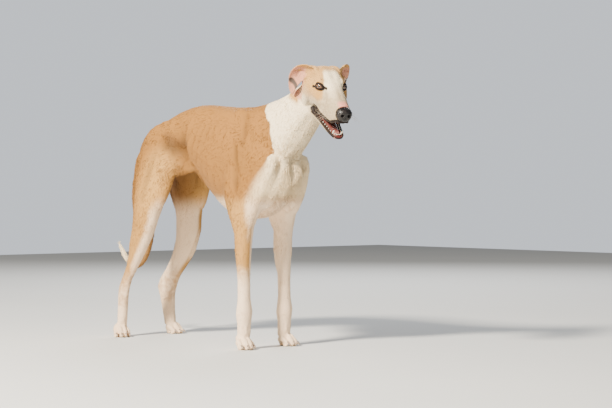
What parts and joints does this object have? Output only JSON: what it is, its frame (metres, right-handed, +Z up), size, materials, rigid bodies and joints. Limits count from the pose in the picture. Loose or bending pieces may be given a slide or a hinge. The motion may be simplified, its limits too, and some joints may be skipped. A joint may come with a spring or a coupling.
{
  "type": "greyhound, still life-size model",
  "caption": "Standing greyhound as a still, life-size model, with its head turned and mouth open, its ears folded back and its tail low.",
  "frame": {"origin": "centre of the bounding box, on the floor under the paws", "axes": "+X along the body towards the nose, +Y towards the dog's left, +Z up"},
  "size_m": [1.2176, 0.272, 0.8312],
  "materials": {
    "fawn_coat": "short fawn fur",
    "white_coat": "short white fur",
    "nose_leather": "moist black skin",
    "wet_tongue": "wet pink skin",
    "amber_eye": "glossy amber iris"
  },
  "bodies": {
    "root": {"head": "fawn_coat", "lower_jaw": "white_coat", "tongue": "wet_tongue", "nose_pad": "nose_leather", "eye_left": "amber_eye", "eye_right": "amber_eye", "ear_left": "fawn_coat", "ear_right": "fawn_coat", "neck": "white_coat", "torso": "fawn_coat", "tail_upper": "fawn_coat", "tail_middle": "fawn_coat", "tail_tip": "white_coat", "upper_arm_left": "fawn_coat", "upper_arm_right": "fawn_coat", "forearm_left": "fawn_coat", "forearm_right": "fawn_coat", "forepaw_left": "white_coat", "forepaw_right": "white_coat", "thigh_left": "fawn_coat", "thigh_right": "fawn_coat", "shank_left": "fawn_coat", "shank_right": "fawn_coat", "hind_pastern_left": "white_coat", "hind_pastern_right": "white_coat", "hind_paw_left": "white_coat", "hind_paw_right": "white_coat"}
  },
  "joints": []
}
